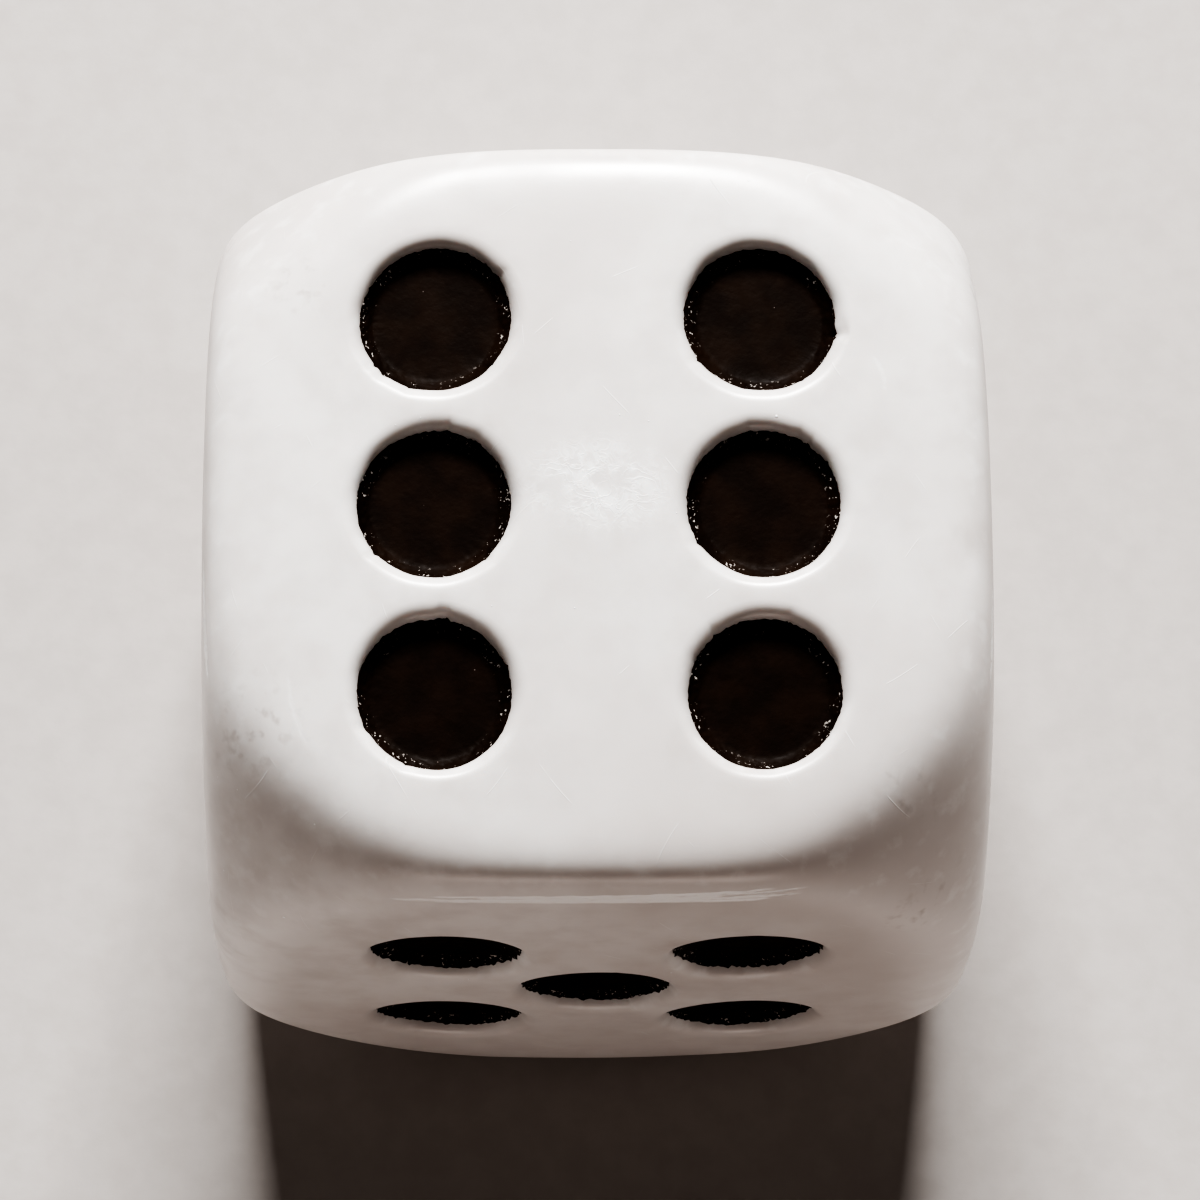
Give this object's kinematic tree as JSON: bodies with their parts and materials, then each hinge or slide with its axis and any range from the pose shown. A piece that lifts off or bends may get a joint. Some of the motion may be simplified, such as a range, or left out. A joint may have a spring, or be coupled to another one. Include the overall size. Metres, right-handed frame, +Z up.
{
  "type": "six-sided die",
  "caption": "Gaming die with rounded edges and corners: opaque ivory-coloured body with recessed, black-filled pips, thrown on a table to give a random number.",
  "frame": {"origin": "middle of the face that the die rests on, which is the one", "axes": "+Z up through the six, -Y out of the five (front), +Y out of the two, +X out of the three, -X out of the four"},
  "size_m": [0.016, 0.016, 0.016],
  "materials": {
    "ivory_plastic": "tumbled gloss, worn satin on the flats, with fine scratches",
    "pip_lacquer": "brushed-in black-brown lacquer, smooth floor and rough chipped rim"
  },
  "bodies": {
    "root": {"body": "ivory_plastic", "pip_one_centre": "pip_lacquer", "pip_two_low_left": "pip_lacquer", "pip_two_high_right": "pip_lacquer", "pip_three_centre": "pip_lacquer", "pip_three_high_left": "pip_lacquer", "pip_three_low_right": "pip_lacquer", "pip_four_low_left": "pip_lacquer", "pip_four_high_right": "pip_lacquer", "pip_four_high_left": "pip_lacquer", "pip_four_low_right": "pip_lacquer", "pip_five_centre": "pip_lacquer", "pip_five_low_left": "pip_lacquer", "pip_five_high_right": "pip_lacquer", "pip_five_high_left": "pip_lacquer", "pip_five_low_right": "pip_lacquer", "pip_six_low_left": "pip_lacquer", "pip_six_high_right": "pip_lacquer", "pip_six_high_left": "pip_lacquer", "pip_six_low_right": "pip_lacquer", "pip_six_middle_left": "pip_lacquer", "pip_six_middle_right": "pip_lacquer"}
  },
  "joints": []
}
